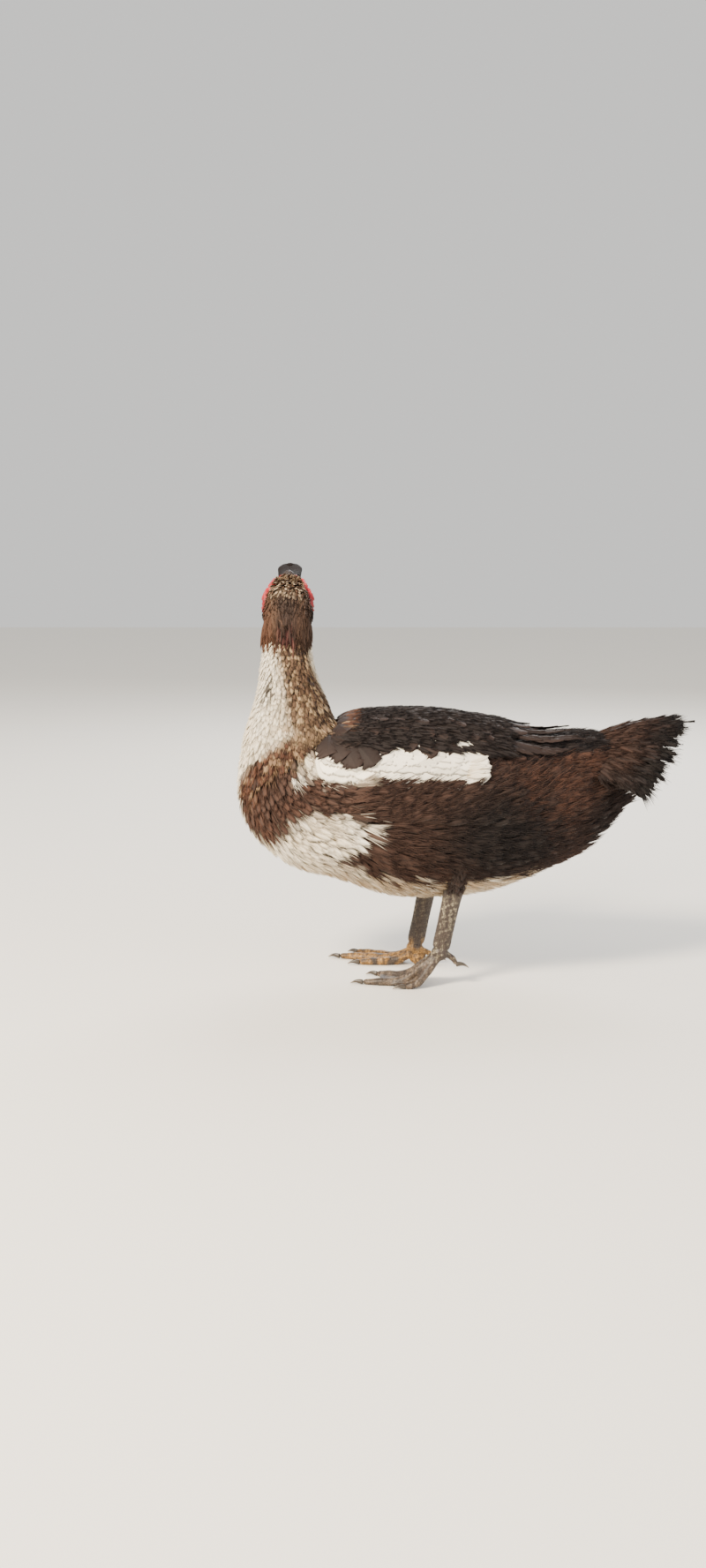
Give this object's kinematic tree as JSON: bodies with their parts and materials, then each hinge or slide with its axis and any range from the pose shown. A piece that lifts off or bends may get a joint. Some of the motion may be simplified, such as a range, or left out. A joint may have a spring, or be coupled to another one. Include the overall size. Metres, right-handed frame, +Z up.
{
  "type": "standing muscovy duck model",
  "caption": "Life-size muscovy duck standing on two webbed feet, neck upright, head turned away over its right side with the bill raised, short fanned tail.",
  "frame": {"origin": "middle of the bounding box's footprint, on the floor under the feet", "axes": "+Z up, the breast faces -X, the tail points to +X, the duck's left side faces -Y and its bill points to +Y"},
  "size_m": [0.4558, 0.1794, 0.4176],
  "materials": {
    "russet_feather": "mottled chestnut, brown and cream body feathers, matt",
    "bill": "dark horn of the bill, satin",
    "face_skin": "bare pink-red folded skin of the face, slightly moist",
    "eye": "wet dark-brown eye",
    "cream_feather": "white to cream feathers, matt and soft",
    "chocolate_feather": "dark chocolate flight, tail and shoulder feathers, close-webbed and faintly silky",
    "leg_scale": "grey-brown to ochre scaled leg and web skin",
    "claw": "dark claw horn"
  },
  "bodies": {
    "root": {"head": "russet_feather", "bill_upper": "bill", "bill_lower": "bill", "bill_nail": "bill", "knob": "face_skin", "eye_left": "eye", "face_skin_left": "face_skin", "eye_right": "eye", "face_skin_right": "face_skin", "torso": "russet_feather", "neck_lower": "cream_feather", "neck_upper": "russet_feather", "tail": "chocolate_feather", "wing_left": "cream_feather", "scapulars_left": "chocolate_feather", "thigh_left": "chocolate_feather", "tarsus_left": "leg_scale", "foot_left": "leg_scale", "claw_inner_left": "claw", "claw_middle_left": "claw", "claw_outer_left": "claw", "claw_hind_left": "claw", "wing_right": "cream_feather", "scapulars_right": "chocolate_feather", "thigh_right": "chocolate_feather", "tarsus_right": "leg_scale", "foot_right": "leg_scale", "claw_inner_right": "claw", "claw_middle_right": "claw", "claw_outer_right": "claw", "claw_hind_right": "claw"}
  },
  "joints": []
}
